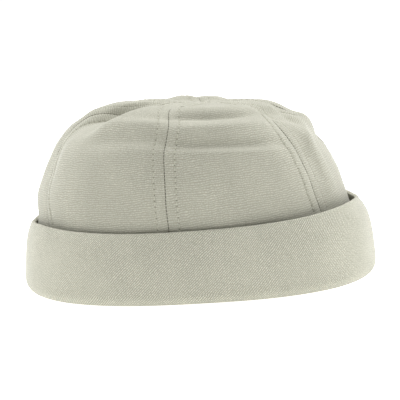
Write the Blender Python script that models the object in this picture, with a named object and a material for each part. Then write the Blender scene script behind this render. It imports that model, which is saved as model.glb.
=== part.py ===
"""A docker cap: a soft brimless crown of six sewn panels, with a deep cuff turned up round it.

Metres, +Z up. The cap rests on the fold of its cuff at z = 0, with the middle of the fold on the
Z axis and its longer side along X. Every piece is a closed wall of cloth, and the cap is open
underneath for the head.
"""

from typing import NamedTuple

import bpy
import numpy as np

# Plan of the cap, taken at the outside of the cuff's fold
HALF_LENGTH = 0.1040
HALF_DEPTH = 0.0965
SQUARENESS = 2.5

# Cuff: a band of doubled cloth, turned up round the outside of the crown
CUFF_HEIGHT = 0.0379
CUFF_THICKNESS = 0.0026
CUFF_BELLY = 0.0015
SIDE_LEAN = 0.0070
END_LEAN = 0.0070
RIM_SHIFT = 0.0012
CORNER_LEAN = 0.0045
END_CURL = 0.60
CURL_SHIFT = 0.15
RIM_SLOPE_X = 0.018
RIM_SLOPE_Y = -0.020
END_RISE = 0.0046
RISE_FROM, RISE_FULL = 0.0200, -0.0600
FOLD_WIDTH = 0.0110
FOLD_RADIUS = 0.0055
REST_WIDTH = 0.0030
BAND_THICKNESS = 0.0020
BAND_HEIGHT = 0.0180

# Crown: panels that rise from the band inside the cuff and meet at the top
CLOTH = 0.0015
CROWN_TOP = 0.1030
TOP_SHIFT = 0.0110
TOP_SLOPE = 0.050
NEAR_FULLNESS = 0.50
SEAM_HOLLOW = 0.0012
SEAM_REACH = 0.10
SHOULDER_WIDTH = 0.10
FOLD_DEPTH = 0.0030
DENT_DEPTH = 0.0060
DENTS_FROM, DENTS_FULL = 0.40, 0.80
TIP_RADIUS = 0.0015

# Room between neighbouring pieces
GAP = 0.0003

# How finely the cloth is faceted
CUFF_COLUMNS = 96
CUFF_ROWS = 6
PANEL_COLUMNS = 14
PANEL_ROWS = 18
CURVE_STEPS = 12

COTTON_COLOUR = (0.46, 0.45, 0.37, 1.0)
COTTON_ROUGHNESS = 0.9


class Station(NamedTuple):
    """A level of the crown: shares of its rise, of its plan at the band and of TOP_SHIFT."""

    up: float
    out: float
    shift: float


class Seam(NamedTuple):
    """A seam between two panels.

    bearing is its degrees round the crown, sway is added to it halfway up, turn at the top, and
    step at the crown's shoulder, a share of the way up.
    """

    bearing: float
    sway: float
    turn: float
    step: float
    shoulder: float


class Fold(NamedTuple):
    """A soft ridge or hollow in the crown's wall.

    bearing and turn are degrees round the crown, height and width are shares of the way from the
    band to the top, slant is the change of height over one turn, push is a share of FOLD_DEPTH.
    """

    bearing: float
    height: float
    turn: float
    width: float
    slant: float
    push: float


class Dent(NamedTuple):
    """A hollow or rise in the crown's flat top.

    x, y, reach and width are shares of HALF_LENGTH, heading is the degrees of its long way, edge
    is 1 where it fades from its middle and less where its rim is steep, and lift is a share of
    DENT_DEPTH.
    """

    x: float
    y: float
    heading: float
    reach: float
    width: float
    edge: float
    lift: float


SEAMS = (
    Seam(12, -12, 14, -8, 0.66),
    Seam(84, 0, 0, 0, 0.60),
    Seam(145, 3, -20, 0, 0.60),
    Seam(217, -20, -45, 0, 0.60),
    Seam(261, 0, -14, 3.2, 0.62),
    Seam(320.8, -2.0, 0, 10, 0.74),
)

STATIONS = (
    Station(0.000, 1.000, 0.00),
    Station(0.140, 0.990, -0.12),
    Station(0.280, 0.968, -0.20),
    Station(0.400, 0.948, -0.27),
    Station(0.500, 0.924, -0.27),
    Station(0.620, 0.876, -0.27),
    Station(0.730, 0.820, -0.27),
    Station(0.820, 0.748, -0.27),
    Station(0.885, 0.668, -0.27),
    Station(0.935, 0.580, -0.25),
    Station(0.968, 0.465, -0.10),
    Station(0.986, 0.320, 0.20),
    Station(0.996, 0.160, 0.65),
    Station(1.000, 0.000, 1.00),
)

FOLDS = (
    Fold(285, 0.732, 33, 0.050, 0.00, 0.90),
    Fold(286, 0.668, 27, 0.024, 0.00, -0.70),
    Fold(285, 0.588, 27, 0.034, 0.00, 0.70),
    Fold(284, 0.500, 26, 0.028, -0.01, -0.85),
    Fold(284, 0.462, 26, 0.014, -0.01, 0.20),
    Fold(240, 0.600, 19, 0.032, 0.02, 0.60),
    Fold(240, 0.520, 20, 0.036, 0.02, -0.60),
    Fold(337, 0.520, 12, 0.045, 0.10, 0.50),
    Fold(346, 0.620, 10, 0.040, 0.05, -0.70),
    Fold(2, 0.535, 16, 0.036, 0.00, 0.85),
    Fold(0, 0.455, 13, 0.024, 0.00, -0.75),
    Fold(196, 0.400, 8, 0.180, 0.00, -0.40),
    Fold(182, 0.230, 14, 0.050, 0.00, 0.40),
    Fold(325, 0.400, 4, 0.130, 0.00, -0.25),
    Fold(331, 0.400, 4, 0.150, 0.00, 0.30),
    Fold(112, 0.540, 26, 0.050, 0.01, -0.65),
    Fold(112, 0.630, 24, 0.026, 0.01, 0.35),
    Fold(56, 0.500, 22, 0.050, -0.02, -0.55),
    Fold(160, 0.580, 20, 0.055, 0.02, -0.50),
)

DENTS = (
    Dent(-0.45, -0.23, 25, 0.29, 0.17, 0.36, -1.40),
    Dent(-0.38, -0.45, 25, 0.26, 0.10, 1.00, 0.40),
    Dent(-0.38, -0.06, 25, 0.23, 0.05, 0.50, -0.50),
    Dent(0.08, 0.15, 0, 0.28, 0.23, 1.00, -0.50),
    Dent(0.05, 0.36, 6, 0.15, 0.10, 0.35, 0.40),
    Dent(0.47, -0.25, 20, 0.11, 0.09, 0.50, -0.60),
    Dent(0.46, 0.08, -20, 0.25, 0.15, 0.80, 0.40),
)


def smooth_step(value, start, end):
    """Rises smoothly from 0 at start to 1 at end."""
    share = np.clip((value - start) / (end - start), 0, 1)
    return share**2 * (3 - 2 * share)


def through(rows):
    """A function from shares of the way along to places on a smooth curve through the rows."""
    points = np.array(rows, float)
    ends = np.concatenate([[2 * points[0] - points[1]], points, [2 * points[-1] - points[-2]]])
    shares = np.linspace(0, 1, CURVE_STEPS, endpoint=False)[:, None]
    pieces = []
    for before, start, end, after in zip(ends, ends[1:], ends[2:], ends[3:]):
        leave, arrive = (end - before) / 2, (after - start) / 2
        rest = 3 * (end - start) - 2 * leave - arrive
        turn = 2 * (start - end) + leave + arrive
        pieces.append(start + leave * shares + rest * shares**2 + turn * shares**3)
    curve = np.concatenate([*pieces, points[-1:]])
    steps = np.linalg.norm(np.diff(curve[:, :2], axis=0), axis=1)
    along = np.concatenate([[0], np.cumsum(steps)])
    along /= along[-1]
    return lambda share: np.stack([np.interp(share, along, column) for column in curve.T], -1)


def plan(bearing, inset=0.0):
    """The place and outward direction on the cap's plan, moved inwards by the inset."""
    x, y = np.cos(bearing), np.sin(bearing)
    level = np.abs(x / HALF_LENGTH) ** SQUARENESS + np.abs(y / HALF_DEPTH) ** SQUARENESS
    reach = level ** (-1 / SQUARENESS)
    place = np.stack([x * reach, y * reach], -1)
    outward = np.stack([
        np.sign(x) * np.abs(place[..., 0] / HALF_LENGTH) ** (SQUARENESS - 1) / HALF_LENGTH,
        np.sign(y) * np.abs(place[..., 1] / HALF_DEPTH) ** (SQUARENESS - 1) / HALF_DEPTH,
    ], -1)
    outward /= np.linalg.norm(outward, axis=-1, keepdims=True)
    return place - outward * np.asarray(inset)[..., None], outward


def endness(place):
    """How near a place of the plan is to the cap's two ends, from 0 in the middle to 1."""
    return np.abs(place[..., 0] / HALF_LENGTH) ** SQUARENESS


def rim_height(place):
    """How high the cuff's rim stands over a place of the plan: highest at the two near corners."""
    slope = RIM_SLOPE_X * place[..., 0] + RIM_SLOPE_Y * place[..., 1]
    near = smooth_step(place[..., 1], RISE_FROM, RISE_FULL)
    return CUFF_HEIGHT + slope + END_RISE * endness(place) * near


CROWN_INSET = FOLD_WIDTH - (BAND_THICKNESS + CLOTH) / 2
CROWN_FOOT = BAND_HEIGHT + GAP
MERIDIAN = through(STATIONS)


def seam_bearing(index, up):
    """Where a seam runs at a share of the way up, in radians; seam 6 is seam 0 a turn later."""
    turns, index = divmod(index, len(SEAMS))
    seam = SEAMS[index]
    sway = seam.sway * np.sin(np.pi * up) + seam.turn * up**3
    step = seam.step * np.exp(-(((up - seam.shoulder) / SHOULDER_WIDTH) ** 2))
    return np.radians(360 * turns + seam.bearing + sway + step)


def panel_swell(bearing, up):
    """How far the wall is drawn in near its seams, in metres along the outward normal."""
    near = np.zeros(np.broadcast(bearing, up).shape)
    for index in range(len(SEAMS)):
        away = np.cos(bearing - seam_bearing(index, up))
        near += np.exp((away - 1) / SEAM_REACH**2)
    return -SEAM_HOLLOW * near * np.sqrt(np.sin(np.pi * np.clip(up, 0, 1)))


def wall_folds(bearing, up):
    """The soft folds of the crown's wall, in metres along the outward normal."""
    total = np.zeros(np.broadcast(bearing, up).shape)
    for fold in FOLDS:
        turned = np.mod(np.degrees(bearing) - fold.bearing + 180, 360) - 180
        along = turned / fold.turn
        across = (up - fold.height - fold.slant * along) / fold.width
        total += fold.push * FOLD_DEPTH * np.exp(-(along**4) - across**2)
    return total


def top_dents(x, y):
    """The hollows and rises of the crown's top, in metres upwards."""
    total = np.zeros(np.broadcast(x, y).shape)
    for dent in DENTS:
        heading = np.radians(dent.heading)
        east, north = x / HALF_LENGTH - dent.x, y / HALF_LENGTH - dent.y
        along = (east * np.cos(heading) + north * np.sin(heading)) / dent.reach
        across = (north * np.cos(heading) - east * np.sin(heading)) / dent.width
        outside = smooth_step(np.hypot(along, across), 1 - dent.edge, 1 + dent.edge)
        total += dent.lift * DENT_DEPTH * (1 - outside)
    return total


def plain_crown(bearing, up):
    """The crown's outer face without its folds."""
    level = MERIDIAN(up)
    rise, out, shift = level[..., 0], level[..., 1], level[..., 2]
    near = np.clip(-np.sin(bearing), 0, 1) ** 2
    out = out * (1 + NEAR_FULLNESS * near * (1 - out))
    foot, _ = plan(bearing, CROWN_INSET)
    half_length, half_depth = HALF_LENGTH - CROWN_INSET, HALF_DEPTH - CROWN_INSET
    reach = np.hypot(np.cos(bearing) / half_length, np.sin(bearing) / half_depth) ** -1
    x = out * (foot[..., 0] * (1 - rise) + reach * np.cos(bearing) * rise) + TOP_SHIFT * shift
    y = out * (foot[..., 1] * (1 - rise) + reach * np.sin(bearing) * rise)
    z = CROWN_FOOT + (CROWN_TOP - CROWN_FOOT) * rise - TOP_SLOPE * x * rise**2
    return np.stack([x, y, z], -1)


def normals(surface, bearing, up, step=1e-4):
    """The outward normals of a surface given as a function of bearing and way up."""
    up = np.clip(up, step, 1 - step)
    round_it = surface(bearing + step, up) - surface(bearing - step, up)
    up_it = surface(bearing, up + step) - surface(bearing, up - step)
    normal = np.cross(round_it, up_it)
    return normal / np.linalg.norm(normal, axis=-1, keepdims=True)


def crown(bearing, up):
    """The crown's outer face, with its folds."""
    bearing, up = np.broadcast_arrays(bearing, up)
    plain = plain_crown(bearing, up)
    push = panel_swell(bearing, up) + wall_folds(bearing, up)
    folded = plain + normals(plain_crown, bearing, up) * push[..., None]
    near_top = smooth_step(up, DENTS_FROM, DENTS_FULL)
    folded[..., 2] += top_dents(plain[..., 0], plain[..., 1]) * near_top
    return folded


def cloth(name, points, faces):
    """An object of one closed wall, in cotton."""
    mesh = bpy.data.meshes.new(name)
    mesh.from_pydata(points.tolist(), [], faces)
    mesh.materials.append(cotton(name))
    mesh.shade_smooth()
    piece = bpy.data.objects.new(name, mesh)
    bpy.context.scene.collection.objects.link(piece)
    return piece


def cotton(name):
    """Woven cotton, matt, in the cap's pale sage grey."""
    material = bpy.data.materials.new(f"{name}_cotton")
    material.use_nodes = True
    shader = material.node_tree.nodes["Principled BSDF"]
    shader.inputs["Base Color"].default_value = COTTON_COLOUR
    shader.inputs["Roughness"].default_value = COTTON_ROUGHNESS
    shader.inputs["Metallic"].default_value = 0.0
    return material


def quarter(centre, start, end, count):
    """Places on a quarter of an ellipse from start to end about its centre, without its ends."""
    centre, start, end = (np.array(corner, float) for corner in (centre, start, end))
    angles = np.linspace(0, np.pi / 2, count + 2)[1:-1, None]
    return centre + (start - centre) * np.cos(angles) + (end - centre) * np.sin(angles)


def cuff_face(share, place, rim):
    """The outer face of the cuff's outer leg, as outward distance and height.

    It leans in evenly along the sides, curls in towards the rim round the ends, and leans in
    further at the far corner of the end towards +X.
    """
    end = endness(place)
    side_out = CUFF_BELLY * np.sin(np.pi * share) - SIDE_LEAN * share
    end_lean = END_LEAN + RIM_SHIFT * np.sign(place[..., 0])
    curl = END_CURL + CURL_SHIFT * np.sign(place[..., 0])
    end_out = -end_lean * (share * (1 - curl) + share**5 * curl)
    corner = np.clip(place[..., 0] / HALF_LENGTH, 0, 1) * np.clip(place[..., 1] / HALF_DEPTH, 0, 1)
    out = side_out * (1 - end) + end_out * end - CORNER_LEAN * corner * share
    return np.stack([out, FOLD_RADIUS + (rim - FOLD_RADIUS) * share], -1)


def cuff_section(place):
    """The cuff's section, once round, as outward distances and heights."""
    half = CUFF_THICKNESS / 2
    outer = cuff_face(np.linspace(0, 1, CUFF_ROWS), place, rim_height(place) - half)
    inner = (outer - [CUFF_THICKNESS, 0])[::-2]
    rim_centre = outer[-1] - [half, 0]
    rim_top = rim_centre + [0, half]
    band_out, band_in = BAND_THICKNESS - FOLD_WIDTH, -FOLD_WIDTH
    hollow_middle = (band_out - CUFF_THICKNESS) / 2
    hollow_centre = (hollow_middle, FOLD_RADIUS)
    hollow_floor = (hollow_middle, CUFF_THICKNESS)
    rest_out, rest_in = (REST_WIDTH - FOLD_WIDTH) / 2, -(REST_WIDTH + FOLD_WIDTH) / 2
    return np.concatenate([
        outer,
        quarter(rim_centre, outer[-1], rim_top, 1),
        [rim_top],
        quarter(rim_centre, rim_top, inner[0], 1),
        inner,
        quarter(hollow_centre, inner[-1], hollow_floor, 1),
        [hollow_floor],
        quarter(hollow_centre, hollow_floor, (band_out, FOLD_RADIUS), 1),
        [(band_out, FOLD_RADIUS), (band_out, BAND_HEIGHT)],
        [(band_in, BAND_HEIGHT), (band_in, FOLD_RADIUS)],
        quarter((rest_in, FOLD_RADIUS), (band_in, FOLD_RADIUS), (rest_in, 0), 2),
        [(rest_in, 0), (rest_out, 0)],
        quarter((rest_out, FOLD_RADIUS), (rest_out, 0), (0, FOLD_RADIUS), 2),
    ])


def ring_faces(columns, size):
    """The faces of a closed ring of columns, each a closed section of the same size."""
    faces = []
    for column in range(columns):
        here, there = column * size, (column + 1) % columns * size
        for row in range(size):
            above = (row + 1) % size
            faces.append((here + row, there + row, there + above, here + above))
    return faces


def make_cuff():
    """The cuff: outer leg, fold, and the band that the crown stands on."""
    sections = []
    for bearing in np.linspace(0, 2 * np.pi, CUFF_COLUMNS, endpoint=False):
        place, outward = plan(bearing)
        section = cuff_section(place)
        across = place + outward * section[:, :1]
        sections.append(np.column_stack([across, section[:, 1]]))
    return cloth("cuff", np.concatenate(sections), ring_faces(CUFF_COLUMNS, len(sections[0])))


def wall_faces(rows, columns):
    """The faces of a wall: its outer grid of points, its inner one, and the edges between them."""
    def at(row, column, layer):
        return (layer * rows + row) * columns + column

    faces = []
    for row in range(rows - 1):
        for column in range(columns - 1):
            corners = [(row, column), (row, column + 1), (row + 1, column + 1), (row + 1, column)]
            faces.append([at(*corner, 0) for corner in corners])
            faces.append([at(*corner, 1) for corner in reversed(corners)])
    rim = [(0, column) for column in range(columns)]
    rim += [(row, columns - 1) for row in range(1, rows)]
    rim += [(rows - 1, column) for column in range(columns - 2, -1, -1)]
    rim += [(row, 0) for row in range(rows - 2, 0, -1)]
    for here, there in zip(rim, rim[1:] + rim[:1]):
        faces.append([at(*there, 0), at(*here, 0), at(*here, 1), at(*there, 1)])
    return faces


def make_panel(index):
    """A panel of the crown, from the band to its tip, half a gap clear of each seam."""
    meridian_length = HALF_DEPTH + CROWN_TOP - CROWN_FOOT
    up = np.linspace(0, 1 - TIP_RADIUS / meridian_length, PANEL_ROWS + 1)[:, None]
    start, end = seam_bearing(index, up), seam_bearing(index + 1, up)
    radius = np.linalg.norm(plain_crown(start, up)[..., :2] - [TOP_SHIFT, 0], axis=-1)
    clear = GAP / 2 / radius
    share = np.linspace(0, 1, PANEL_COLUMNS + 1)[None, :]
    bearing = start + clear + (end - start - 2 * clear) * share
    outer = crown(bearing, up)
    inner = outer - normals(crown, bearing, np.broadcast_to(up, bearing.shape)) * CLOTH
    inner[0, :, 2] = outer[0, :, 2]
    points = np.concatenate([outer.reshape(-1, 3), inner.reshape(-1, 3)])
    return cloth(f"crown_panel_{index + 1}", points, wall_faces(*outer.shape[:2]))


def main():
    """Builds the cap in an empty scene."""
    for old in list(bpy.data.objects):
        bpy.data.objects.remove(old)
    make_cuff()
    for index in range(len(SEAMS)):
        make_panel(index)


if __name__ == "__main__":
    main()
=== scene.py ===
"""The looks of a docker cap: six crown panels, their topstitching and a turned-up cuff.

Metres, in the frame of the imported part: +Z up, the cap at rest on z = 0 with its longer side along
X, seen from -Y. A bearing is an angle round the crown, from +X towards +Y. Up is the share of the
way from the crown's foot to its top, measured along the cloth.
"""

import logging
from collections.abc import Callable, Sequence
from dataclasses import dataclass, field
from enum import Enum
from typing import NamedTuple

import bpy
import numpy as np
from mathutils import Matrix
from numpy.typing import NDArray


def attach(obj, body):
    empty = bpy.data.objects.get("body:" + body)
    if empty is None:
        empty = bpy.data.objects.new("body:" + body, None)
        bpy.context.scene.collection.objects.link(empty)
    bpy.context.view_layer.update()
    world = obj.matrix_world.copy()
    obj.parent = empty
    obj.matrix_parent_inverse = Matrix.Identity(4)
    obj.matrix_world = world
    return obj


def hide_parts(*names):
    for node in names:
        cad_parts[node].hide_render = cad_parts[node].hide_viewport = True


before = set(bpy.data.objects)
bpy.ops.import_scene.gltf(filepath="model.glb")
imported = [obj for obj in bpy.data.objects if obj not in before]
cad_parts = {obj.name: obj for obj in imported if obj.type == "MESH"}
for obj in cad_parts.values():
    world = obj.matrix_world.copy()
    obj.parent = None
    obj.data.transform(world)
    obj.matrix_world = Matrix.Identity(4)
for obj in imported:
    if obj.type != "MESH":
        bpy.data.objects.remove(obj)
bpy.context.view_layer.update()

Array = NDArray[np.float64]
Surface = Callable[[Array, Array], Array]

MM = 0.001
BODY = "root"
log = logging.getLogger("docker_cap")


# Curves and fields that the pieces share


def smooth_step(value: Array, start: float, end: float) -> Array:
    """Rises smoothly from 0 where the value is at start to 1 where it is at end."""
    share = np.clip((value - start) / (end - start), 0, 1)
    return share * share * (3 - 2 * share)


def bell(value: Array, width: float) -> Array:
    """A bell curve, 1 at zero and about a third at width on either side."""
    return np.exp(-((value / width) ** 2))


def unit(vectors: Array) -> Array:
    """Vectors scaled to a length of 1."""
    return vectors / np.linalg.norm(vectors, axis=-1, keepdims=True)


def read_table(where: Array, steps: Array, rows: Array) -> Array:
    """Reads a table's columns between its rows, which stand at steps, onto a new last axis."""
    return np.stack([np.interp(where, steps, column) for column in rows.T], -1)


def quads(numbers: Array) -> Array:
    """The faces between neighbouring rows and columns of a grid of point numbers."""
    starts, ends = numbers[:-1], numbers[1:]
    return np.stack([starts[:, :-1], starts[:, 1:], ends[:, 1:], ends[:, :-1]], -1).reshape(-1, 4)


def lengths_along(points: Array, axis: int) -> Array:
    """How far it is to each point of a grid from the start of an axis, walked along that axis."""
    steps = np.linalg.norm(np.diff(points, axis=axis), axis=-1)
    return np.insert(np.cumsum(steps, axis=axis), 0, 0, axis=axis)


class SmoothTable:
    """A smooth curve through the rows of a table, read by the share of its length."""

    STEPS = 40

    def __init__(self, rows: Sequence[tuple[float, ...]]) -> None:
        """Works out the curve.

        Args:
            rows: The table. The curve's length is measured in its first two columns.
        """
        points = np.array(rows, float)
        before, after = 2 * points[0] - points[1], 2 * points[-1] - points[-2]
        ends = np.concatenate([[before], points, [after]])
        shares = np.linspace(0, 1, self.STEPS, endpoint=False)[:, None]
        pieces = []
        for previous, start, end, following in zip(ends, ends[1:], ends[2:], ends[3:]):
            leave, arrive = (end - previous) / 2, (following - start) / 2
            rest = 3 * (end - start) - 2 * leave - arrive
            turn = 2 * (start - end) + leave + arrive
            pieces.append(start + leave * shares + rest * shares**2 + turn * shares**3)
        self.curve = np.concatenate([*pieces, points[-1:]])
        along = lengths_along(self.curve[:, :2], 0)
        self.along = along / along[-1]

    def __call__(self, share: Array) -> Array:
        """The table's columns at a share of the curve's length, on a new last axis."""
        return read_table(share, self.along, self.curve)


class Unevenness:
    """A soft, random unevenness, as a field in space."""

    CELLS = 24

    def __init__(self, seed: int, grain: float) -> None:
        """Draws the field.

        Args:
            seed: Fixes the random draw, so that each run gives the same cloth.
            grain: Distance between neighbouring random values, in metres.
        """
        self.grain = grain
        self.values = np.random.default_rng(seed).uniform(-1, 1, (self.CELLS,) * 3)

    def __call__(self, places: Array) -> Array:
        """The field at places.

        Args:
            places: Points, with their three coordinates on the last axis.

        Returns:
            A value from -1 to 1 for each point.
        """
        cells = places / self.grain
        corner = np.floor(cells).astype(int)
        share = smooth_step(cells - corner, 0, 1)
        total = np.zeros(places.shape[:-1])
        for offset in np.ndindex(2, 2, 2):
            weight = np.prod(np.where(offset, share, 1 - share), -1)
            index = (corner + offset) % self.CELLS
            total += weight * self.values[index[..., 0], index[..., 1], index[..., 2]]
        return total


@dataclass(frozen=True)
class Wrinkles:
    """The soft wrinkles of cloth that was sewn and handled, with finer ones over coarse ones."""

    depth: float
    seed: int
    coarse_grain: float
    fine_grain: float
    fine_share: float

    def __call__(self, places: Array) -> Array:
        """The wrinkles at places.

        Args:
            places: Points, with their three coordinates on the last axis.

        Returns:
            Metres outwards for each point.
        """
        coarse = Unevenness(self.seed, self.coarse_grain)(places)
        fine = Unevenness(self.seed + 1, self.fine_grain)(places)
        return self.depth * (coarse + self.fine_share * fine)


def normals(surface: Surface, bearing: Array, up: Array) -> Array:
    """The outward normals of a surface.

    Args:
        surface: Gives points for bearings and ways up.
        bearing: Radians round the crown.
        up: Shares of the way up.

    Returns:
        Unit vectors on a new last axis.
    """
    step = 1e-4
    up = np.clip(up, step, 1 - step)
    round_it = surface(bearing + step, up) - surface(bearing - step, up)
    up_it = surface(bearing, up + step) - surface(bearing, up - step)
    return unit(np.cross(round_it, up_it))


def new_piece(name: str, points: Array, faces: Array, maps: dict[str, Array]) -> bpy.types.Object:
    """Makes a smooth-shaded mesh object.

    Args:
        name: The piece's name.
        points: Its points, one row each.
        faces: Its four-cornered faces, as rows of point numbers.
        maps: Its UV maps by name, with a pair of coordinates for each corner of each face.

    Returns:
        The object, linked to the scene.
    """
    mesh = bpy.data.meshes.new(name)
    mesh.from_pydata(points.tolist(), [], faces.tolist())
    for map_name, corners in maps.items():
        layer = mesh.uv_layers.new(name=map_name)
        layer.data.foreach_set("uv", corners.astype(np.float32).ravel())
    mesh.shade_smooth()
    piece = bpy.data.objects.new(name, mesh)
    bpy.context.scene.collection.objects.link(piece)
    return piece


def dress(piece: bpy.types.Object, finish: bpy.types.Material) -> None:
    """Gives a piece its finish, and ties it to the cap's body.

    Args:
        piece: The piece.
        finish: Its material.
    """
    piece.data.materials.append(finish)
    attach(piece, BODY)


# Finishes


def linear(colour: str) -> tuple[float, float, float, float]:
    """Turns an sRGB hex colour to the linear colour that a shader takes.

    Args:
        colour: Such as "#bdbba6".

    Returns:
        Linear red, green and blue, and an alpha of 1.
    """
    shares = [int(colour[start : start + 2], 16) / 255 for start in (1, 3, 5)]
    red, green, blue = (
        share / 12.92 if share <= 0.04045 else ((share + 0.055) / 1.055) ** 2.4 for share in shares
    )
    return red, green, blue, 1.0


def add(
    tree: bpy.types.NodeTree, kind: str, inputs: dict[int | str, object], **settings: object
) -> bpy.types.Node:
    """Adds a node to a material.

    Args:
        tree: The material's nodes.
        kind: The node's type, without the leading "ShaderNode".
        inputs: What each input gets, by name or number: a value, a socket to link from, or a
            node whose first output is linked.
        settings: The node's own options.

    Returns:
        The node.
    """
    node = tree.nodes.new("ShaderNode" + kind)
    for name, value in settings.items():
        setattr(node, name, value)
    for name, value in inputs.items():
        if isinstance(value, bpy.types.Node):
            tree.links.new(value.outputs[0], node.inputs[name])
        elif isinstance(value, bpy.types.NodeSocket):
            tree.links.new(value, node.inputs[name])
        else:
            node.inputs[name].default_value = value
    return node


def new_material(name: str, values: dict[str, object]) -> bpy.types.Material:
    """Makes a material.

    Args:
        name: The material's name.
        values: What is the same all over the surface, by the name of the shader's own socket.

    Returns:
        The material.
    """
    made = bpy.data.materials.new(name)
    made.use_nodes = True
    sockets = made.node_tree.nodes["Principled BSDF"].inputs
    for socket, value in values.items():
        sockets[socket].default_value = value
    return made


class Lay(Enum):
    """How a piece was cut from the cloth: the degrees from its width to the twill's lines."""

    CROWN = 4.0
    CUFF = 45.0


@dataclass(frozen=True)
class SewnSeam:
    """A plain seam pressed open, with a row of topstitching along each side.

    Distances are measured across the cloth from the seam's line, and runs along it.
    """

    allowance: float = 7.4 * MM
    allowance_lift: float = 0.35 * MM
    allowance_slope: float = 1.6 * MM
    groove_depth: float = 0.15 * MM
    groove_width: float = 0.25 * MM
    shoulder_depth: float = 0.35 * MM
    shoulder_width: float = 1.8 * MM
    row: float = 6.0 * MM
    row_depth: float = 0.25 * MM
    row_width: float = 0.7 * MM
    hole_depth: float = 0.35 * MM
    hole_width: float = 0.55 * MM
    stitch_pitch: float = 3.2 * MM
    seam_pitch: float = 1.9 * MM
    stitch_gap: float = 0.5 * MM
    thread: float = 0.42 * MM
    pucker_depth: float = 0.35 * MM
    pucker_reach: float = 9.0 * MM
    # The seam's line and the sewing beside it fade out where the panel narrows to its tip.
    line_full: float = 8.0 * MM
    sewing_from: float = 6.0 * MM
    sewing_full: float = 18.0 * MM

    def relief(self, distance: Array, run: Array, width: Array, puckers: Array) -> Array:
        """The relief that the seam gives the cloth beside it.

        Args:
            distance: How far each point is from the nearest seam.
            run: How far up that seam it is.
            width: How wide the panel is there.
            puckers: An uneven field from -1 to 1 for the stitching's puckers.

        Returns:
            Metres outwards.
        """
        lift = self.allowance_lift * (
            1 - smooth_step(distance, self.allowance - self.allowance_slope, self.allowance)
        )
        groove = self.groove_depth * bell(distance, self.groove_width)
        shoulder = self.shoulder_depth * bell(distance, self.shoulder_width)
        beside = bell(distance - self.row, self.row_width)
        into_stitch = np.mod(run / self.stitch_pitch + 0.5, 1) - 0.5
        hole = bell(distance - self.row, self.hole_width)
        hole = hole * bell(into_stitch * self.stitch_pitch, self.hole_width)
        pucker = self.pucker_depth * puckers * bell(distance - self.row, self.pucker_reach)
        sewing = lift - self.row_depth * beside - self.hole_depth * hole + pucker
        sewing = sewing * smooth_step(width, self.sewing_from, self.sewing_full)
        return sewing - (groove + shoulder) * smooth_step(width, 0, self.line_full)


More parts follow.
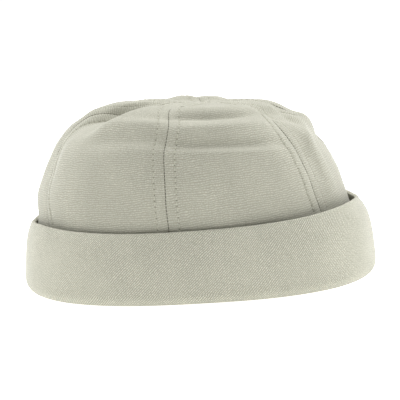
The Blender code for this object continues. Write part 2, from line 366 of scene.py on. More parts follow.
@dataclass(frozen=True)
class CottonDrill:
    """Cotton drill, woven in a steep twill and piece-dyed a pale sage grey.

    The raised twill lines catch the light, and painted shade darkens the furrows between them, so
    that the cloth reads as fine ribs from near and as one matt tone from afar. Its fuzz of short
    fibres lightens what is seen at a low angle, and there is no gloss. Where it is sewn, painted
    shade darkens the line of the seam and the needle's holes.
    """

    lay: Lay
    # Real drill has a line every 0.8 mm or so. These are drawn coarser, to show at all at the
    # photograph's 1.7 pixels to the millimetre. Both lengths are in the pattern's millimetres.
    line_pitch: float
    float_length: float
    yarn_share: float
    seam: SewnSeam | None = None
    colour: str = "#cccbbd"
    # Painted shade: the furrows between the twill's lines get this darker colour.
    furrow_shade_colour: str = "#969587"
    # Painted shade for the seam's line and the needle's holes.
    shade_colour: str = "#5a594d"
    furrow_depth: float = 0.12 * MM
    relief_strength: float = 0.8
    # Each line's floats begin this share of a float after the line before.
    float_step: float = 0.5
    # How far the lines wander and the yarn thickens, in the pattern's millimetres, how far the
    # floats jump, in floats, and how much the weave is calmed in patches. Each has a scale in
    # grains to the millimetre.
    wander: float = 3.0
    wander_scale: float = 0.06
    slub: float = 1.6
    slub_scale: float = 0.3
    fleck: float = 3.0
    fleck_scale: float = 0.5
    patchiness: float = 0.7
    patch_scale: float = 0.025
    detail: float = 1.0
    # How wide and how strong the painted shade of the seam's line and of the needle's holes is. The
    # line's shade comes and goes with the stitches.
    seam_line: float = 0.32 * MM
    line_shade: float = 1.0
    drawn_in: float = 0.8
    hole: float = 0.55 * MM
    hole_shade: float = 0.6
    core: float = 0.3
    # The dye's mottle has 60 grains to the metre, and its noise mostly lies between these bounds.
    mottle: float = 0.04
    mottle_scale: float = 60.0
    mottle_detail: float = 4.0
    mottle_bounds: tuple[float, float] = (0.3, 0.7)
    roughness: float = 0.93
    specular: float = 0.25
    sheen: float = 0.22
    sheen_roughness: float = 0.45

    def material(self) -> bpy.types.Material:
        """Makes the finish.

        Returns:
            The material.
        """
        made = new_material(f"woven_cotton_drill_{self.lay.name.lower()}", {
            "Roughness": self.roughness, "Specular IOR Level": self.specular,
            "Sheen Weight": self.sheen, "Sheen Roughness": self.sheen_roughness,
        })
        tree = made.node_tree
        weave = self.weave(tree)
        # Painted shade: where the weave is low, in its furrows, the colour darkens.
        furrow_shaded = add(tree, "Mix", {
            0: weave, 6: linear(self.furrow_shade_colour), 7: linear(self.colour),
        }, data_type="RGBA")
        cloth = self.mottled(tree, furrow_shaded.outputs[2])
        if self.seam:
            # Paints shade along the seam's line and into the needle's holes.
            sewn = add(tree, "Mix", {
                0: self.sewing(tree), 6: cloth, 7: linear(self.shade_colour),
            }, data_type="RGBA")
            cloth = sewn.outputs[2]
        relief = add(tree, "Bump", {
            "Height": weave, "Strength": self.relief_strength, "Distance": self.furrow_depth,
        })
        sockets = tree.nodes["Principled BSDF"].inputs
        tree.links.new(cloth, sockets["Base Color"])
        tree.links.new(relief.outputs[0], sockets["Normal"])
        return made

    def weave(self, tree: bpy.types.NodeTree) -> bpy.types.NodeSocket:
        """The twill as a height from 0 in the furrows to 1 on the lines.

        Args:
            tree: The material's nodes.

        Returns:
            The socket that gives the height.
        """
        cloth = add(tree, "UVMap", {}, uv_map="cloth")
        turned = add(tree, "Mapping", {
            "Vector": cloth,
            "Rotation": (0, 0, -np.radians(self.lay.value)),
            "Scale": (1 / MM, 1 / MM, 1),
        })
        sides = add(tree, "SeparateXYZ", {0: turned})
        scales = self.wander_scale, self.slub_scale, self.fleck_scale, self.patch_scale
        drift, slubs, flecks, patches = (
            add(tree, "TexNoise", {"Vector": turned, "Scale": scale, "Detail": self.detail})
            for scale in scales
        )
        across = sides.outputs["Y"]
        for noise, reach in (drift, self.wander), (slubs, self.slub):
            across = add(tree, "Math", {0: noise, 1: reach, 2: across}, operation="MULTIPLY_ADD")
        lines = add(tree, "Math", {0: across, 1: self.line_pitch}, operation="DIVIDE")
        number = add(tree, "Math", {0: lines}, operation="FLOOR")
        floats = add(tree, "Math", {
            0: sides.outputs["X"], 1: self.float_length,
        }, operation="DIVIDE")
        for jump, share in (number, self.float_step), (flecks, self.fleck):
            floats = add(tree, "Math", {0: jump, 1: share, 2: floats}, operation="MULTIPLY_ADD")
        yarn = add(tree, "Math", {
            0: self.wave(tree, floats), 1: self.yarn_share, 2: 1 - self.yarn_share,
        }, operation="MULTIPLY_ADD")
        height = add(tree, "Math", {0: self.wave(tree, lines), 1: yarn}, operation="MULTIPLY")
        # In the patches where the weave hardly shows, the height nears its own mean.
        mean = 0.5 - self.yarn_share / 4
        plain = add(tree, "Math", {0: patches, 1: self.patchiness}, operation="MULTIPLY")
        below = add(tree, "Math", {0: mean, 1: height}, operation="SUBTRACT")
        calmed = add(tree, "Math", {0: below, 1: plain, 2: height}, operation="MULTIPLY_ADD")
        return calmed.outputs[0]

    def sewing(self, tree: bpy.types.NodeTree) -> bpy.types.NodeSocket:
        """Where painted shade darkens the cloth along the seam's line and in the needle's holes.

        Args:
            tree: The material's nodes.

        Returns:
            The socket that gives the share of painted shade.
        """
        sides = add(tree, "SeparateXYZ", {0: add(tree, "UVMap", {}, uv_map="seam")})
        distance, run = sides.outputs["X"], sides.outputs["Y"]
        beside = add(tree, "Math", {0: distance, 1: self.seam.row}, operation="SUBTRACT")
        half = self.seam.stitch_pitch / 2
        along = add(tree, "Math", {0: run, 1: half, 2: -half}, operation="WRAP")
        away = add(tree, "CombineXYZ", {0: beside, 1: along})
        away = add(tree, "VectorMath", {0: away}, operation="LENGTH").outputs["Value"]
        line, hole = (
            add(tree, "MapRange", {
                "Value": place, "From Min": self.core * edge, "From Max": edge,
                "To Min": shade, "To Max": 0,
            }, interpolation_type="SMOOTHSTEP")
            for place, edge, shade in (
                (distance, self.seam_line, self.line_shade), (away, self.hole, self.hole_shade),
            )
        )
        stitches = add(tree, "Math", {0: run, 1: self.seam.seam_pitch}, operation="DIVIDE")
        drawn_in = add(tree, "Math", {
            0: self.wave(tree, stitches), 1: self.drawn_in, 2: 1 - self.drawn_in,
        }, operation="MULTIPLY_ADD")
        line = add(tree, "Math", {0: line, 1: drawn_in}, operation="MULTIPLY")
        return add(tree, "Math", {0: line, 1: hole}, operation="MAXIMUM").outputs[0]

    def mottled(
        self, tree: bpy.types.NodeTree, colour: bpy.types.NodeSocket
    ) -> bpy.types.NodeSocket:
        """Gives a colour the dye's slight mottle.

        Args:
            tree: The material's nodes.
            colour: The socket that gives the colour.

        Returns:
            The socket that gives the mottled colour.
        """
        noise = add(tree, "TexNoise", {
            "Vector": add(tree, "TexCoord", {}).outputs["Object"],
            "Scale": self.mottle_scale, "Detail": self.mottle_detail,
        })
        low, high = self.mottle_bounds
        tone = add(tree, "MapRange", {
            "Value": noise, "From Min": low, "From Max": high,
            "To Min": 1 - self.mottle, "To Max": 1 + self.mottle,
        })
        return add(tree, "VectorMath", {0: colour, "Scale": tone}, operation="SCALE").outputs[0]

    @staticmethod
    def wave(tree: bpy.types.NodeTree, turns: bpy.types.Node) -> bpy.types.NodeSocket:
        """A wave between 0 and 1.

        Args:
            tree: The material's nodes.
            turns: The node that gives how many waves have passed.

        Returns:
            The socket that gives the wave.
        """
        angle = add(tree, "Math", {0: turns, 1: 2 * np.pi}, operation="MULTIPLY")
        sine = add(tree, "Math", {0: angle}, operation="SINE")
        return add(tree, "Math", {0: sine, 1: 0.5, 2: 0.5}, operation="MULTIPLY_ADD").outputs[0]


@dataclass(frozen=True)
class SewingThread:
    """Cotton-wrapped sewing thread, dyed to match the cloth.

    It is a little smoother than the cloth round it, so that each stitch has a soft light side.
    """

    colour: str = "#bcbbab"
    roughness: float = 0.75
    specular: float = 0.3

    def material(self) -> bpy.types.Material:
        """The finish as a material."""
        return new_material("cotton_sewing_thread", {
            "Base Color": linear(self.colour), "Roughness": self.roughness,
            "Specular IOR Level": self.specular,
        })


@dataclass(frozen=True)
class WhiteBoard:
    """Matt white board that glows, so that the cap throws almost no shadow on it."""

    colour: str = "#fbfbfa"
    roughness: float = 0.9
    glow: float = 0.85

    def material(self) -> bpy.types.Material:
        """The finish as a material."""
        return new_material("matt_white_board", {
            "Base Color": linear(self.colour), "Roughness": self.roughness,
            "Emission Color": linear(self.colour), "Emission Strength": self.glow,
        })


# The cap's form


@dataclass(frozen=True)
class Plan:
    """The cap's outline from above, at the outside of the cuff's fold: a squared ellipse."""

    half_length: float = 0.1040
    half_depth: float = 0.0965
    squareness: float = 2.5

    def at(self, bearing: Array, inset: float = 0.0) -> tuple[Array, Array]:
        """The outline at bearings.

        Args:
            bearing: Radians round the cap.
            inset: How far inside the outline.

        Returns:
            The places, and the outward directions there.
        """
        half = np.array([self.half_length, self.half_depth])
        heading = np.stack([np.cos(bearing), np.sin(bearing)], -1)
        level = np.sum(np.abs(heading / half) ** self.squareness, -1, keepdims=True)
        place = heading * level ** (-1 / self.squareness)
        outward = unit(np.sign(place) * np.abs(place / half) ** (self.squareness - 1) / half)
        return place - outward * inset, outward

    def endness(self, place: Array) -> Array:
        """How near places are to the cap's two ends, from 0 in the middle to 1."""
        return np.abs(place[..., 0] / self.half_length) ** self.squareness


class Seam(NamedTuple):
    """A seam between two panels.

    bearing is its degrees round the crown, sway is added to it halfway up, turn at the top, and
    step at the crown's shoulder, a share of the way up.
    """

    bearing: float
    sway: float
    turn: float
    step: float
    shoulder: float


class Station(NamedTuple):
    """A level of the crown: shares of its rise, of its plan at the foot and of the top's shift."""

    up: float
    out: float
    shift: float


class Fold(NamedTuple):
    """A soft ridge or hollow in the crown's wall.

    bearing and turn are degrees round the crown, height and width are shares of the way up, slant
    is the change of height over one turn, and push is in millimetres outwards.
    """

    bearing: float
    height: float
    turn: float
    width: float
    slant: float
    push: float


class Dent(NamedTuple):
    """A hollow or rise in the crown's top.

    x, y, reach and width are in millimetres, heading is the degrees of its long way, edge is 1
    where it fades from its middle and less where its rim is steep, and lift is in millimetres
    upwards.
    """

    x: float
    y: float
    heading: float
    reach: float
    width: float
    edge: float
    lift: float


SEAMS = (
    Seam(12, -12, 14, -8, 0.66),
    Seam(84, 0, 0, 0, 0.60),
    Seam(145, 3, -20, 0, 0.60),
    Seam(217, -20, -45, 0, 0.60),
    Seam(261, 0, -14, 3.2, 0.62),
    Seam(320.8, -2.0, 0, 10, 0.74),
)

STATIONS = (
    Station(0.000, 1.000, 0.00),
    Station(0.140, 0.990, -0.12),
    Station(0.280, 0.968, -0.20),
    Station(0.400, 0.948, -0.27),
    Station(0.500, 0.924, -0.27),
    Station(0.620, 0.876, -0.27),
    Station(0.730, 0.820, -0.27),
    Station(0.820, 0.748, -0.27),
    Station(0.885, 0.668, -0.27),
    Station(0.935, 0.580, -0.25),
    Station(0.968, 0.465, -0.10),
    Station(0.986, 0.320, 0.20),
    Station(0.996, 0.160, 0.65),
    Station(1.000, 0.000, 1.00),
)

FOLDS = (
    Fold(285, 0.732, 33, 0.050, 0.00, 2.70),
    Fold(286, 0.668, 27, 0.024, 0.00, -2.10),
    Fold(285, 0.588, 27, 0.034, 0.00, 2.10),
    Fold(284, 0.500, 26, 0.028, -0.01, -2.55),
    Fold(284, 0.462, 26, 0.014, -0.01, 0.60),
    Fold(240, 0.600, 19, 0.032, 0.02, 1.80),
    Fold(240, 0.520, 20, 0.036, 0.02, -1.80),
    Fold(337, 0.520, 12, 0.045, 0.10, 1.50),
    Fold(346, 0.620, 10, 0.040, 0.05, -2.10),
    Fold(2, 0.535, 16, 0.036, 0.00, 2.55),
    Fold(0, 0.455, 13, 0.024, 0.00, -2.25),
    Fold(196, 0.400, 8, 0.180, 0.00, -1.20),
    Fold(182, 0.230, 14, 0.050, 0.00, 1.20),
    Fold(325, 0.400, 4, 0.130, 0.00, -0.75),
    Fold(331, 0.400, 4, 0.150, 0.00, 0.90),
    Fold(112, 0.540, 26, 0.050, 0.01, -1.95),
    Fold(112, 0.630, 24, 0.026, 0.01, 1.05),
    Fold(56, 0.500, 22, 0.050, -0.02, -1.65),
    Fold(160, 0.580, 20, 0.055, 0.02, -1.50),
)

DENTS = (
    Dent(-47, -24, 25, 30, 18, 0.36, -8.4),
    Dent(-40, -47, 25, 27, 10, 1.00, 2.4),
    Dent(-39, -6, 25, 24, 5, 0.50, -3.0),
    Dent(8, 16, 0, 29, 24, 1.00, -3.0),
    Dent(5, 37, 6, 16, 10, 0.35, 2.4),
    Dent(49, -26, 20, 11, 9, 0.50, -3.6),
    Dent(48, 8, -20, 26, 16, 0.80, 2.4),
)


@dataclass(frozen=True)
class CrownForm:
    """The outer face of the whole crown as one surface, with its folds but without its seams."""

    plan: Plan
    meridian: SmoothTable
    inset: float = 0.00925
    foot: float = 0.0183
    top: float = 0.1030
    top_shift: float = 0.0110
    top_slope: float = 0.050
    near_fullness: float = 0.50
    seam_hollow: float = 0.0012
    seam_reach: float = 0.10
    shoulder_width: float = 0.10
    dents_from: float = 0.40
    dents_full: float = 0.80

    def seam_bearing(self, index: int, up: Array) -> Array:
        """Where a seam runs.

        Args:
            index: The seam's number. Past the last, it counts on into the next turn.
            up: Shares of the way up.

        Returns:
            Radians round the crown.
        """
        turns, index = divmod(index, len(SEAMS))
        seam = SEAMS[index]
        sway = seam.sway * np.sin(np.pi * up) + seam.turn * up**3
        step = seam.step * bell(up - seam.shoulder, self.shoulder_width)
        return np.radians(360 * turns + seam.bearing + sway + step)

    def plain(self, bearing: Array, up: Array) -> Array:
        """The surface without its folds.

        Args:
            bearing: Radians round the crown.
            up: Shares of the way up.

        Returns:
            Points, with their coordinates on a new last axis.
        """
        level = self.meridian(up)
        rise, out, shift = level[..., 0], level[..., 1], level[..., 2]
        near = np.clip(-np.sin(bearing), 0, 1) ** 2
        out = out * (1 + self.near_fullness * near * (1 - out))
        foot, _ = self.plan.at(bearing, self.inset)
        half_length = self.plan.half_length - self.inset
        half_depth = self.plan.half_depth - self.inset
        reach = np.hypot(np.cos(bearing) / half_length, np.sin(bearing) / half_depth) ** -1
        x = out * (foot[..., 0] * (1 - rise) + reach * np.cos(bearing) * rise)
        x = x + self.top_shift * shift
        y = out * (foot[..., 1] * (1 - rise) + reach * np.sin(bearing) * rise)
        z = self.foot + (self.top - self.foot) * rise - self.top_slope * x * rise**2
        return np.stack([x, y, z], -1)

    def swell(self, bearing: Array, up: Array) -> Array:
        """How the wall is drawn in towards its seams.

        Args:
            bearing: Radians round the crown.
            up: Shares of the way up.

        Returns:
            Metres outwards.
        """
        near = np.zeros(np.broadcast(bearing, up).shape)
        for index in range(len(SEAMS)):
            away = np.cos(bearing - self.seam_bearing(index, up))
            near += np.exp((away - 1) / self.seam_reach**2)
        return -self.seam_hollow * near * np.sqrt(np.sin(np.pi * np.clip(up, 0, 1)))

    def folds(self, bearing: Array, up: Array) -> Array:
        """The wall's soft folds.

        Args:
            bearing: Radians round the crown.
            up: Shares of the way up.

        Returns:
            Metres outwards.
        """
        total = np.zeros(np.broadcast(bearing, up).shape)
        for fold in FOLDS:
            turned = np.mod(np.degrees(bearing) - fold.bearing + 180, 360) - 180
            along = turned / fold.turn
            across = (up - fold.height - fold.slant * along) / fold.width
            total += fold.push * MM * np.exp(-(along**4) - across**2)
        return total

    def dents(self, x: Array, y: Array) -> Array:
        """The hollows and rises of the top.

        Args:
            x: Places along the cap.
            y: Places across it.

        Returns:
            Metres upwards.
        """
        total = np.zeros(np.broadcast(x, y).shape)
        for dent in DENTS:
            heading = np.radians(dent.heading)
            east, north = x / MM - dent.x, y / MM - dent.y
            along = (east * np.cos(heading) + north * np.sin(heading)) / dent.reach
            across = (north * np.cos(heading) - east * np.sin(heading)) / dent.width
            outside = smooth_step(np.hypot(along, across), 1 - dent.edge, 1 + dent.edge)
            total += dent.lift * MM * (1 - outside)
        return total

    def face(self, bearing: Array, up: Array) -> Array:
        """The surface with its folds.

        Args:
            bearing: Radians round the crown.
            up: Shares of the way up.

        Returns:
            Points, with their coordinates on a new last axis.
        """
        bearing, up = np.broadcast_arrays(bearing, up)
        plain = self.plain(bearing, up)
        push = self.swell(bearing, up) + self.folds(bearing, up)
        folded = plain + normals(self.plain, bearing, up) * push[..., None]
        near_top = smooth_step(up, self.dents_from, self.dents_full)
        folded[..., 2] += self.dents(plain[..., 0], plain[..., 1]) * near_top
        return folded


# Crown


@dataclass
class CrownPanel:
    """One panel of the crown: a closed wall of cloth from its foot to its tip.

    Building it fills in the last four fields, which its topstitching follows: each grid point's
    distance from the nearest seam, its run up that seam, its place and its outward direction.
    """

    crown: CrownForm
    seam: SewnSeam
    index: int
    finish: bpy.types.Material
    rows: int = 270
    cloth: float = 1.5 * MM
    gap: float = 0.05 * MM
    tip_radius: float = 0.4 * MM
    # Where the columns stand beside a seam and how far apart they are in the middle, for a panel
    # of this width, all in millimetres. A narrower row has them closer together.
    edge_distances: tuple[float, ...] = (
        0, 0.12, 0.28, 0.5, 0.8, 1.2, 1.8, 2.6, 3.6, 4.5, 5.2, 5.7, 6.2, 6.7, 7.3, 8.2, 9.4,
    )
    middle_step: float = 1.55
    widest: float = 102.0
    first_pucker_seed: int = 20
    pucker_grain: float = 7.5 * MM
    pucker_stretch: float = 0.45
    wrinkles: Wrinkles = Wrinkles(0.35 * MM, 7, 21 * MM, 10 * MM, 0.5)
    # Lower down, the cuff hides the cloth, which stays plain there to clear it.
    wrinkles_from: float = 0.24
    wrinkles_full: float = 0.36
    distance: Array = field(init=False)
    run: Array = field(init=False)
    outer: Array = field(init=False)
    outward: Array = field(init=False)

    @property
    def name(self) -> str:
        """The name of the panel's CAD node."""
        return f"crown_panel_{self.index + 1}"

    def shares(self) -> Array:
        """The columns' places, closer together near the seams.

        Returns:
            Shares of the way across the panel.
        """
        near = np.array(self.edge_distances)
        steps = int((self.widest / 2 - near[-1]) / self.middle_step)
        half = np.concatenate([near, np.linspace(near[-1], self.widest / 2, steps + 1)[1:]])
        whole = np.concatenate([half, self.widest - half[-2::-1]])
        return whole / self.widest

    def grid(self) -> tuple[Array, Array]:
        """Lays out the panel's grid.

        Returns:
            The bearings by row and column, and the rows' shares of the way up.
        """
        length = self.crown.plan.half_depth + self.crown.top - self.crown.foot
        up = np.linspace(0, 1 - self.tip_radius / length, self.rows)[:, None]
        start = self.crown.seam_bearing(self.index, up)
        end = self.crown.seam_bearing(self.index + 1, up)
        middle = self.crown.top_shift, 0
        radius = np.linalg.norm(self.crown.plain(start, up)[..., :2] - middle, axis=-1)
        clear = self.gap / radius
        return start + clear + (end - start - 2 * clear) * self.shares()[None, :], up

    def build(self) -> bpy.types.Object:
        """Makes the panel.

        Returns:
            The piece, in place, with the CAD node that it stands for hidden.
        """
        bearing, up = self.grid()
        up = np.broadcast_to(up, bearing.shape)
        face = self.crown.face(bearing, up)
        self.outward = normals(self.crown.face, bearing, up)
        across = lengths_along(face, 1)
        width = across[:, -1:]
        self.distance = np.minimum(across, width - across)
        left_run, right_run = lengths_along(face[:, 0], 0), lengths_along(face[:, -1], 0)
        self.run = np.where(across < width / 2, left_run[:, None], right_run[:, None])
        self.outer = face + self.outward * self.relief(face, up, width)[..., None]
        inner = face - self.outward * self.cloth
        inner[0, :, 2] = self.outer[0, :, 2] = self.crown.foot
        length = lengths_along(face[:, face.shape[1] // 2], 0)[:, None]
        maps = {
            "cloth": np.stack([across - width / 2, np.broadcast_to(length, across.shape)], -1),
            "seam": np.stack([self.distance, self.run], -1),
        }
        faces = self.wall_faces(*bearing.shape)
        points = np.concatenate([self.outer.reshape(-1, 3), inner.reshape(-1, 3)])
        piece = new_piece(f"{self.name}_cloth", points, faces, {
            name: np.tile(values.reshape(-1, 2), (2, 1))[faces] for name, values in maps.items()
        })
        dress(piece, self.finish)
        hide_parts(self.name)
        self.declare(piece, width[:, 0], length[:, 0])
        return piece

    def relief(self, face: Array, up: Array, width: Array) -> Array:
        """The relief of the seams and the wrinkles.

        Args:
            face: The grid's points, before any relief.
            up: Their shares of the way up.
            width: How wide the panel is at each row.

        Returns:
            Metres outwards.
        """
        places = [self.run, self.distance * self.pucker_stretch, np.zeros_like(self.run)]
        seed = self.first_pucker_seed + self.index
        puckers = Unevenness(seed, self.pucker_grain)(np.stack(places, -1))
        visible = smooth_step(up, self.wrinkles_from, self.wrinkles_full)
        sewn = self.seam.relief(self.distance, self.run, width, puckers * visible)
        return sewn + self.wrinkles(face) * visible

    @staticmethod
    def declare(piece: bpy.types.Object, width: Array, length: Array) -> None:
        """Args:
            piece: The panel. Not used.
            width: Its width at each row of its grid. Not used.
            length: How far up its middle each row is. Not used.
        """

    @staticmethod
    def wall_faces(rows: int, columns: int) -> Array:
        """The faces of a closed wall: an outer grid of points, an inner one, and the edges.

        Args:
            rows: Rows of the grid.
            columns: Columns of the grid.

        Returns:
            Rows of four point numbers. The inner grid's points come after the outer one's.
        """
        numbers = np.arange(2 * rows * columns).reshape(2, rows, columns)
        edge = np.concatenate([
            numbers[:, 0, :-1], numbers[:, :-1, -1], numbers[:, -1, :0:-1], numbers[:, :0:-1, 0],
        ], axis=1)
        there = np.roll(edge, -1, axis=1)
        rim = np.stack([there[0], edge[0], edge[1], there[1]], -1)
        return np.concatenate([quads(numbers[0]), quads(numbers[1])[:, ::-1], rim])


@dataclass
class Topstitching:
    """The two rows of topstitching on a panel, one along each of its seams."""

    panel: CrownPanel
    finish: bpy.types.Material
    rings: int = 7
    sides: int = 6
    arch: float = 0.16 * MM
    sink: float = 0.06 * MM
    # A row ends where less than this is left between the seam and the panel's middle, and this
    # many stitches short of either end. A thread's section shrinks to this share of its area
    # where it dives in.
    least_room: float = 6.6 * MM
    spare: int = 1
    end_share: float = 0.15

    def line(self, from_left: bool) -> tuple[Array, Array, Array]:
        """Follows a row of stitching on the finished cloth.

        Args:
            from_left: Whether the row runs along the panel's first seam.

        Returns:
            The run along the seam, the points and the outward directions, one for each grid row.
        """
        panel, seam = self.panel, self.panel.seam
        side = slice(None) if from_left else slice(None, None, -1)
        half = panel.distance.shape[1] // 2
        distance = panel.distance[:, side][:, :half]
        wide = distance[:, -1] > self.least_room
        columns = np.concatenate([panel.outer, panel.outward], -1)[:, side][:, :half]
        found = np.array([
            read_table(seam.row, steps, row) for steps, row in zip(distance[wide], columns[wide])
        ])
        run = panel.run[:, side][wide, 0]
        return run, found[:, :3], found[:, 3:]

    def stitches(self, from_left: bool) -> Array:
        """The points of a row's stitches.

        Args:
            from_left: Whether the row runs along the panel's first seam.

        Returns:
            Points by stitch, ring and side.
        """
        seam = self.panel.seam
        run, line, outward = self.line(from_left)
        first = np.ceil(run[0] / seam.stitch_pitch) + self.spare
        numbers = np.arange(first, np.floor(run[-1] / seam.stitch_pitch) - self.spare)
        share = np.linspace(0, 1, self.rings)
        length = seam.stitch_pitch - seam.stitch_gap
        runs = numbers[:, None] * seam.stitch_pitch + seam.stitch_gap / 2 + length * share
        normal = unit(read_table(runs, run, outward))
        arch = self.arch * np.sin(np.pi * share) - self.sink
        centre = read_table(runs, run, line) + normal * arch[None, :, None]
        ahead = unit(np.gradient(centre, axis=1))
        beside = np.cross(ahead, normal)
        above = np.cross(beside, ahead)
        angle = np.linspace(0, 2 * np.pi, self.sides, endpoint=False)
        radius = seam.thread / 2 * np.sqrt(np.clip(np.sin(np.pi * share), self.end_share, 1))
        circle = beside[:, :, None] * np.cos(angle)[:, None]
        circle = circle + above[:, :, None] * np.sin(angle)[:, None]
        return centre[:, :, None] + circle * radius[None, :, None, None]

    def build(self) -> bpy.types.Object:
        """Makes both rows.

        Returns:
            The piece, with each stitch closed by itself.
        """
        stitches = np.concatenate([self.stitches(True), self.stitches(False)])
        count, rings, sides = stitches.shape[:3]
        ring = np.arange(rings * sides).reshape(rings, sides)
        tube = quads(np.pad(ring, ((0, 0), (0, 1)), "wrap"))
        caps = [
            (end[first], end[first + 1], end[first + 2], end[(first + 3) % sides])
            for end in (ring[0][::-1], ring[-1])
            for first in range(0, sides - 2, 2)
        ]
        one = np.concatenate([tube, np.array(caps)])
        faces = (one + (np.arange(count) * rings * sides)[:, None, None]).reshape(-1, 4)
        piece = new_piece(f"{self.panel.name}_topstitching", stitches.reshape(-1, 3), faces, {})
        dress(piece, self.finish)
        return piece


# Cuff


@dataclass
class Cuff:
    """The band of doubled cloth that is turned up round the crown, in one closed wall."""

    plan: Plan
    finish: bpy.types.Material
    height: float = 0.0379
    thickness: float = 2.6 * MM
    belly: float = 1.5 * MM
    side_lean: float = 7.0 * MM
    end_lean: float = 7.0 * MM
    rim_shift: float = 1.2 * MM
    corner_lean: float = 4.5 * MM
    end_curl: float = 0.60
    curl_shift: float = 0.15
    curl_power: int = 5
    rim_slope_x: float = 0.018
    rim_slope_y: float = -0.020
    end_rise: float = 4.6 * MM
    rise_from: float = 0.0200
    rise_full: float = -0.0600
    fold_width: float = 0.0110
    fold_radius: float = 0.0055
    rest_width: float = 0.0030
    band_thickness: float = 2.0 * MM
    band_height: float = 0.0180
    columns: int = 480
    # The order of a face's corners that turns it outwards.
    corners: tuple[int, ...] = (0, 3, 2, 1)
    face_rows: int = 34
    band_rows: int = 8
    hollow_points: int = 3
    fold_points: int = 6
    wrinkles: Wrinkles = Wrinkles(0.45 * MM, 3, 34 * MM, 14 * MM, 0.4)
    wrinkles_from: float = 3.0 * MM
    wrinkles_full: float = 16.5 * MM

    def rim_height(self, place: Array) -> Array:
        """How high the rim stands: highest at the two near corners.

        Args:
            place: Places on the plan.

        Returns:
            The rim's heights there.
        """
        slope = self.rim_slope_x * place[..., 0] + self.rim_slope_y * place[..., 1]
        near = smooth_step(place[..., 1], self.rise_from, self.rise_full)
        return self.height + slope + self.end_rise * self.plan.endness(place) * near

    def face(self, share: Array, place: Array, rim: float) -> Array:
        """The outer face of the cuff.

        Args:
            share: Shares of the way from the fold to the rim.
            place: The place on the plan.
            rim: Height of the top of the face.

        Returns:
            Outward distances and heights.
        """
        end = self.plan.endness(place)
        side_out = self.belly * np.sin(np.pi * share) - self.side_lean * share
        end_lean = self.end_lean + self.rim_shift * np.sign(place[..., 0])
        curl = self.end_curl + self.curl_shift * np.sign(place[..., 0])
        end_out = -end_lean * (share * (1 - curl) + share**self.curl_power * curl)
        towards_x = np.clip(place[..., 0] / self.plan.half_length, 0, 1)
        towards_y = np.clip(place[..., 1] / self.plan.half_depth, 0, 1)
        corner = self.corner_lean * towards_x * towards_y * share
        out = side_out * (1 - end) + end_out * end - corner
        return np.stack([out, self.fold_radius + (rim - self.fold_radius) * share], -1)

    @staticmethod
    def quarter(
        centre: Sequence[float], start: Sequence[float], end: Sequence[float], count: int
    ) -> Array:
        """A quarter of an ellipse.

        Args:
            centre: Its centre.
            start: Where it starts.
            end: Where it ends.
            count: How many points it gets between its ends.

        Returns:
            Those points.
        """
        middle, first, last = (np.array(corner, float) for corner in (centre, start, end))
        angles = np.linspace(0, np.pi / 2, count + 2)[1:-1, None]
        return middle + (first - middle) * np.cos(angles) + (last - middle) * np.sin(angles)

    def section(self, place: Array) -> Array:
        """The cuff's section at a place of the plan, once round.

        Args:
            place: The place on the plan.

        Returns:
            Outward distances and heights.
        """
        half, radius = self.thickness / 2, self.fold_radius
        outer = self.face(np.linspace(0, 1, self.face_rows), place, self.rim_height(place) - half)
        # The hidden inner face follows the outer one back down, at every other point.
        inner = (outer - [self.thickness, 0])[::-2]
        rim_centre = outer[-1] - [half, 0]
        rim_top = rim_centre + [0, half]
        band_out, band_in = self.band_thickness - self.fold_width, -self.fold_width
        hollow_middle = (band_out - self.thickness) / 2
        hollow_centre = hollow_middle, radius
        hollow_floor = hollow_middle, self.thickness
        rest_out = (self.rest_width - self.fold_width) / 2
        rest_in = -(self.rest_width + self.fold_width) / 2
        band = np.linspace(radius, self.band_height, self.band_rows)
        few, many = self.hollow_points, self.fold_points
        return np.concatenate([
            outer,
            self.quarter(rim_centre, outer[-1], rim_top, few),
            [rim_top],
            self.quarter(rim_centre, rim_top, inner[0], few),
            inner,
            self.quarter(hollow_centre, inner[-1], hollow_floor, few),
            [hollow_floor],
            self.quarter(hollow_centre, hollow_floor, (band_out, radius), few),
            np.stack([np.full_like(band, band_out), band], -1),
            np.stack([np.full_like(band, band_in), band[::-1]], -1),
            self.quarter((rest_in, radius), (band_in, radius), (rest_in, 0), many),
            [(rest_in, 0), (rest_out, 0)],
            self.quarter((rest_out, radius), (rest_out, 0), (0, radius), many),
        ])

    def build(self) -> bpy.types.Object:
        """Makes the cuff.

        Returns:
            The piece, in place, with the CAD node that it stands for hidden.
        """
        bearings = np.linspace(0, 2 * np.pi, self.columns, endpoint=False)
        grid, walked = [], []
        for bearing in bearings:
            place, outward = self.plan.at(bearing)
            section = self.section(place)
            across = place + outward * section[:, :1]
            grid.append(np.column_stack([across, section[:, 1]]))
            walked.append(lengths_along(section, 0))
        points = self.wrinkled(np.array(grid))
        numbers = np.arange(points[..., 0].size).reshape(self.columns, -1)
        faces = quads(np.pad(numbers, (0, 1), "wrap"))[:, self.corners]
        piece = new_piece("cuff_cloth", points.reshape(-1, 3), faces, {
            "cloth": self.cloth_map(points, np.array(walked)),
        })
        dress(piece, self.finish)
        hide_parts("cuff")
        return piece

    def wrinkled(self, points: Array) -> Array:
        """Adds the outer face's soft unevenness.

        Args:
            points: The cuff's points by column and place in the section.

        Returns:
            The moved points.
        """
        share = smooth_step(points[..., 2], self.wrinkles_from, self.wrinkles_full)
        # The outer leg's two faces come first in the section.
        leg = np.arange(points.shape[1]) < 2 * self.face_rows
        moved = points.copy()
        moved[..., :2] += unit(points[..., :2]) * (self.wrinkles(points) * share * leg)[..., None]
        return moved

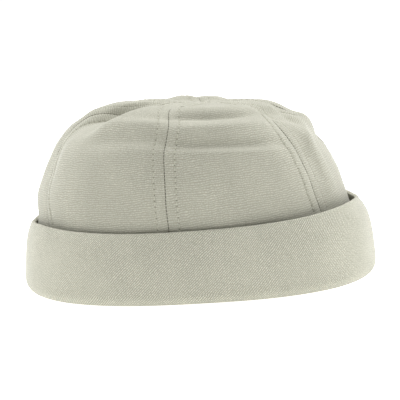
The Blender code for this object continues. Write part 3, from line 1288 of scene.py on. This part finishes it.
    def cloth_map(self, points: Array, walked: Array) -> Array:
        """Lays the cuff's cloth flat.

        Args:
            points: The cuff's points by column and place in the section.
            walked: How far round its section each of them is.

        Returns:
            Metres along and across the band, for each corner of each face.
        """
        along = lengths_along(np.concatenate([points[:, 0], points[:1, 0]]), 0)
        last = walked[:, -1:] + np.linalg.norm(points[:, -1] - points[:, 0], axis=1)[:, None]
        across = np.concatenate([walked, last], axis=1)
        across = np.concatenate([across, across[:1]])
        flat = np.stack([np.broadcast_to(along[:, None], across.shape), across], -1)
        numbers = np.arange(across.size).reshape(across.shape)
        return flat.reshape(-1, 2)[quads(numbers)[:, self.corners]]


# Studio


@dataclass(frozen=True)
class Softbox:
    """A square soft light that faces the cap."""

    place: tuple[float, float, float]
    side: float
    power: float


@dataclass(frozen=True)
class Studio:
    """A light tent on a white table, and the camera in front of it."""

    tent: float = 0.26
    tent_colour: str = "#ffffff"
    floor_side: float = 24.0
    board: WhiteBoard = WhiteBoard()
    softboxes: tuple[Softbox, ...] = (
        Softbox((0.0, 0.25, 1.3), 1.3, 25.5),
        Softbox((1.30, 0.20, 0.45), 1.0, 9.0),
        Softbox((-1.30, 0.30, 0.45), 1.0, 7.5),
    )
    aim: tuple[float, float, float] = (0.0, 0.0, 0.05)
    # The camera was fitted to the cap's outline in the photograph.
    camera_place: tuple[float, float, float] = (0.0, -1.0, 0.2045)
    pan: float = -0.00181
    tilt: float = 0.1608
    roll: float = -0.05677
    focal_length_px: float = 1699.0
    photo_width_px: float = 400.0

    def build(self) -> None:
        """Makes the floor, the lights and the camera."""
        self.light()
        self.lay_floor()
        self.place_camera()

    def light(self) -> None:
        """Lights the tent evenly, and adds the softboxes."""
        scene = bpy.context.scene
        scene.world = bpy.data.worlds.new("light_tent")
        scene.world.use_nodes = True
        background = scene.world.node_tree.nodes["Background"]
        background.inputs["Color"].default_value = linear(self.tent_colour)
        background.inputs["Strength"].default_value = self.tent
        scene.view_settings.view_transform = "Standard"
        for number, box in enumerate(self.softboxes, 1):
            lamp = bpy.data.lights.new(f"softbox_{number}", "AREA")
            lamp.size, lamp.energy = box.side, box.power
            light = bpy.data.objects.new(lamp.name, lamp)
            light.matrix_world = self.facing(np.array(box.place), np.array(self.aim) - box.place)
            scene.collection.objects.link(light)

    @staticmethod
    def facing(place: Array, ahead: Array, roll: float = 0.0) -> Matrix:
        """Where a camera or lamp stands and how it is turned.

        Args:
            place: Its place.
            ahead: The direction that it faces.
            roll: How far it is turned about that direction, in radians.

        Returns:
            Its matrix.
        """
        ahead = unit(ahead)
        level = unit(np.cross(ahead, (0, 0, 1)))
        upright = np.cross(level, ahead)
        right = level * np.cos(roll) + upright * np.sin(roll)
        top = upright * np.cos(roll) - level * np.sin(roll)
        turned = np.eye(4)
        turned[:3] = np.column_stack([right, top, -ahead, place])
        return Matrix(turned.tolist())

    def lay_floor(self) -> None:
        """Lays the white table top under the cap."""
        half = self.floor_side / 2
        corners = np.array([(-half, -half, 0), (half, -half, 0), (half, half, 0), (-half, half, 0)])
        floor = new_piece("floor", corners, np.array([[0, 1, 2, 3]]), {})
        floor.data.materials.append(self.board.material())

    def place_camera(self) -> None:
        """Puts the camera where the photograph was taken from."""
        data = bpy.data.cameras.new("camera")
        data.lens = self.focal_length_px / self.photo_width_px * data.sensor_width
        camera = bpy.data.objects.new("camera", data)
        level = np.cos(self.tilt)
        ahead = np.array([-np.sin(self.pan) * level, np.cos(self.pan) * level, -np.sin(self.tilt)])
        camera.matrix_world = self.facing(np.array(self.camera_place), ahead, self.roll)
        bpy.context.scene.collection.objects.link(camera)
        bpy.context.scene.camera = camera


def main() -> None:
    """Builds and dresses the cap, and then the studio round it."""
    logging.basicConfig(level=logging.INFO, format="%(message)s")
    plan = Plan()
    crown = CrownForm(plan, SmoothTable(STATIONS))
    seam = SewnSeam()
    thread = SewingThread().material()
    crown_cloth = CottonDrill(
        Lay.CROWN, line_pitch=1.25, float_length=1.4, yarn_share=0.8, seam=seam,
    ).material()
    # The cuff's finer ribs are nearly lost between the pixels, so the lines' colour and the furrows'
    # painted shade differ more.
    cuff_cloth = CottonDrill(
        Lay.CUFF, line_pitch=1.04, float_length=1.5, yarn_share=0.65, colour="#e6e5d6",
        furrow_shade_colour="#868576", wander=1.6, slub=0.8, fleck=2.5,
    ).material()
    pieces = []
    for index in range(len(SEAMS)):
        panel = CrownPanel(crown, seam, index, crown_cloth)
        pieces += [panel.build(), Topstitching(panel, thread).build()]
    pieces.append(Cuff(plan, cuff_cloth).build())
    for piece in pieces:
        log.info("%s: %d faces", piece.name, len(piece.data.polygons))
    Studio().build()


if __name__ == "__main__":
    main()
